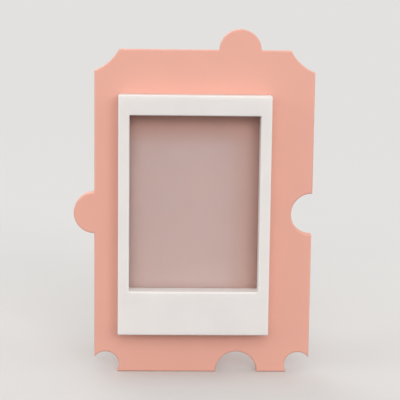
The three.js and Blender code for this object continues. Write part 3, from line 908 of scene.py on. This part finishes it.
class StandFin(bpy.types.Operator):
    """Stand fin. The blade is one rounded outline, seen from the side, swept across its thickness with
    rounded edges; the knuckle is another, seen from above, swept up along the hinge, with a heel that
    stops it square"""

    bl_idname = "photo_frame.stand_fin"
    bl_label = "Stand fin"

    def execute(self, context):
        sizes = context.scene.photo_frame_stand
        foot = FIN_LOW.z
        top = FIN_HIGH.z
        root = HINGE_Y + sizes.root
        back = FIN_HIGH.y
        knuckle_foot = LOWER_WASHER_TOP + sizes.hinge_gap
        knuckle_top = UPPER_WASHER_FOOT - sizes.hinge_gap
        bore = PIN_RADIUS + sizes.bore_gap
        inner = HINGE_Y + (bore + sizes.knuckle_radius) / 2
        corners = [
            (root, foot), (back, foot), (back, sizes.heel_height), (root + sizes.top_width, top), (root, top),
            (root, knuckle_top), (inner, knuckle_top), (inner, knuckle_foot), (root, knuckle_foot),
        ]
        small = sizes.small_corner
        radii = [small, small, sizes.heel_corner, sizes.top_corner, small, 0, 0, 0, 0]
        surface = Surface()
        blade = partial(rounded_outline, corners, radii)
        half = sizes.thickness / 2
        surface.slab(blade, 0, HINGE_X - half, HINGE_X + half, sizes.edge_round)

        radius = sizes.knuckle_radius
        stop = FIN_LOW.y
        around = [
            (HINGE_X - radius, HINGE_Y - radius), (HINGE_X, HINGE_Y - radius), (HINGE_X, stop),
            (HINGE_X + radius, stop), (HINGE_X + radius, HINGE_Y + radius),
            (HINGE_X - radius, HINGE_Y + radius),
        ]
        around_radii = [radius, 0, 0, sizes.stop_corner, radius, radius]
        knuckle = partial(rounded_outline, around, around_radii)
        hole = circle(HINGE_X, HINGE_Y, bore)
        knuckle_edge = sizes.edge_round / 2
        surface.slab(knuckle, 2, knuckle_foot, knuckle_top, knuckle_edge, [hole])
        material = satin_paint(context.scene.photo_frame_finishes)
        surface.piece("stand_fin_look", "stand", material, "stand_fin")
        return {"FINISHED"}


class HeelShoe(bpy.types.Operator):
    """Soft shoe: a trough's rounded outline, seen from the back, swept along the fin's foot with rounded
    ends"""

    bl_idname = "photo_frame.heel_shoe"
    bl_label = "Heel shoe"

    def execute(self, context):
        sizes = context.scene.photo_frame_stand
        left = SHOE_LOW.x
        right = SHOE_HIGH.x
        top = SHOE_HIGH.z
        corners = [
            (left, SHOE_LOW.z), (right, SHOE_LOW.z), (right, top), (right - sizes.shoe_wall, top),
            (right - sizes.shoe_wall, sizes.shoe_sole), (left + sizes.shoe_wall, sizes.shoe_sole),
            (left + sizes.shoe_wall, top), (left, top),
        ]
        round_edge = sizes.shoe_corner
        radii = [round_edge, round_edge, round_edge, round_edge, 0, 0, round_edge, round_edge]
        surface = Surface()
        trough = partial(rounded_outline, corners, radii)
        end_edge = round_edge / 2
        surface.slab(trough, 1, SHOE_LOW.y, SHOE_HIGH.y, end_edge)
        material = moulded_rubber(context.scene.photo_frame_finishes)
        surface.piece("fin_heel_shoe_look", "stand", material, "fin_heel_shoe")
        return {"FINISHED"}


class Hinge(bpy.types.Operator):
    """Hinge pin and two washers, each a rounded profile turned about the hinge's axis"""

    bl_idname = "photo_frame.hinge"
    bl_label = "Hinge pin and washers"

    def execute(self, context):
        sizes = context.scene.photo_frame_stand
        finishes = context.scene.photo_frame_finishes
        place = (HINGE_X, HINGE_Y)
        dome = sizes.pin_stick_out
        surface = Surface()
        surface.disc(2, place, PIN_RADIUS, PIN_LOW.z, PIN_HIGH.z, dome)
        material = turned_steel(finishes)
        surface.piece("stand_hinge_pin_look", "board", material, "stand_hinge_pin")
        for node in ("hinge_washer_lower", "hinge_washer_upper"):
            low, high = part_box(node)
            washer = Surface()
            radius = (high.x - low.x) / 2
            edge = (high.z - low.z) / 4
            washer.tube(2, place, radius, PIN_RADIUS + sizes.bore_gap, low.z, high.z, edge)
            washer.piece(node + "_look", "board", natural_nylon(finishes), node)
        return {"FINISHED"}


class Stage(bpy.types.Operator):
    """Pale floor, soft lights and the camera at the photograph's angle"""

    bl_idname = "photo_frame.stage"
    bl_label = "Studio"

    def execute(self, context):
        scene = context.scene
        studio = scene.photo_frame_studio
        finishes = scene.photo_frame_finishes
        scene.view_settings.view_transform = "Standard"

        ground = Surface()
        ground.flat(2, -FLOOR_DROP, circle(0, 0, FLOOR_RADIUS))
        floor = ground.make("floor", matte_floor(finishes))

        target = Vector((studio.target_x, BOARD_LOW.y, studio.target_z))
        for name, turn, elevation, spread, strength in LIGHTS:
            light = bpy.data.lights.new(name, "SUN")
            light.angle = math.radians(spread)
            light.energy = strength
            lamp = bpy.data.objects.new(name, light)
            scene.collection.objects.link(lamp)
            lamp.matrix_world = looking_at(
                target, math.radians(turn), math.radians(elevation), 0, LIGHT_DISTANCE,
            )

        world = bpy.data.worlds.new("Pale studio")
        scene.world = world
        world.use_nodes = True
        tree = world.node_tree
        tree.nodes.clear()
        glow = add_node(tree, "ShaderNodeBackground", {"Color": (1, 1, 1, 1), "Strength": WORLD_LIGHT})
        backdrop = add_node(tree, "ShaderNodeBackground", {"Color": (*finishes.backdrop, 1), "Strength": 1.0})
        both = add_node(tree, "ShaderNodeMixShader", {
            "Fac": seen_rays(tree), 1: glow.outputs["Background"], 2: backdrop.outputs["Background"],
        })
        add_node(tree, "ShaderNodeOutputWorld", {"Surface": both.outputs["Shader"]})

        lens = bpy.data.cameras.new("Camera")
        lens.lens = studio.lens
        lens.sensor_width = SENSOR_WIDTH
        lens.clip_start = NEAREST
        camera = bpy.data.objects.new("Camera", lens)
        scene.collection.objects.link(camera)
        camera.matrix_world = looking_at(target, studio.turn, studio.elevation, studio.roll, studio.distance)
        scene.camera = camera
        return {"FINISHED"}


def looking_at(target, turn, elevation, roll, distance):
    """Matrix of a thing that looks at target from a turn to the right of the front and an elevation."""
    back = Vector((
        math.sin(turn) * math.cos(elevation), -math.cos(turn) * math.cos(elevation), math.sin(elevation),
    ))
    right = Vector((0, 0, 1)).cross(back).normalized()
    up = back.cross(right)
    rolled_right = math.cos(roll) * right + math.sin(roll) * up
    rolled_up = math.cos(roll) * up - math.sin(roll) * right
    turned = Matrix((rolled_right, rolled_up, back)).transposed().to_4x4()
    return Matrix.Translation(target + back * distance) @ turned


class Sidebar(bpy.types.Panel):
    """Lists the sizes and colours, and the pieces in the order in which they are made"""

    bl_idname = "VIEW3D_PT_photo_frame"
    bl_label = "Photo frame"
    bl_space_type = "VIEW_3D"
    bl_region_type = "UI"
    bl_category = "Photo frame"

    def draw(self, context):
        for name, group in GROUPS:
            values = self.layout.column(align=True)
            values.label(text=group.__doc__)
            for value in group.__annotations__:
                values.prop(getattr(context.scene, name), value)
        for operator in OPERATORS:
            self.layout.operator(operator.bl_idname)


# Groups of sizes and colours, and the pieces in the order in which they are made
GROUPS = (
    ("photo_frame_board", BoardSizes),
    ("photo_frame_frame", FrameSizes),
    ("photo_frame_stand", StandSizes),
    ("photo_frame_finishes", Finishes),
    ("photo_frame_studio", Studio),
)
OPERATORS = (
    Stage, BoardShell, RearCover, CoverScrews, WindowFrame, WindowPane, Magnets, StandFin, HeelShoe, Hinge,
)


def register():
    """Makes the groups, the operators and the sidebar known."""
    for name, group in GROUPS:
        bpy.utils.register_class(group)
        setattr(bpy.types.Scene, name, PointerProperty(type=group))
    for operator in OPERATORS:
        bpy.utils.register_class(operator)
    bpy.utils.register_class(Sidebar)


def unregister():
    """Takes them away again, the last one first."""
    bpy.utils.unregister_class(Sidebar)
    for operator in reversed(OPERATORS):
        bpy.utils.unregister_class(operator)
    for name, group in reversed(GROUPS):
        delattr(bpy.types.Scene, name)
        bpy.utils.unregister_class(group)


def main():
    register()
    bpy.ops.photo_frame.stage()
    bpy.ops.photo_frame.board_shell()
    bpy.ops.photo_frame.rear_cover()
    bpy.ops.photo_frame.cover_screws()
    bpy.ops.photo_frame.window_frame()
    bpy.ops.photo_frame.window_pane()
    bpy.ops.photo_frame.magnets()
    bpy.ops.photo_frame.stand_fin()
    bpy.ops.photo_frame.heel_shoe()
    bpy.ops.photo_frame.hinge()


if __name__ == "__main__":
    main()
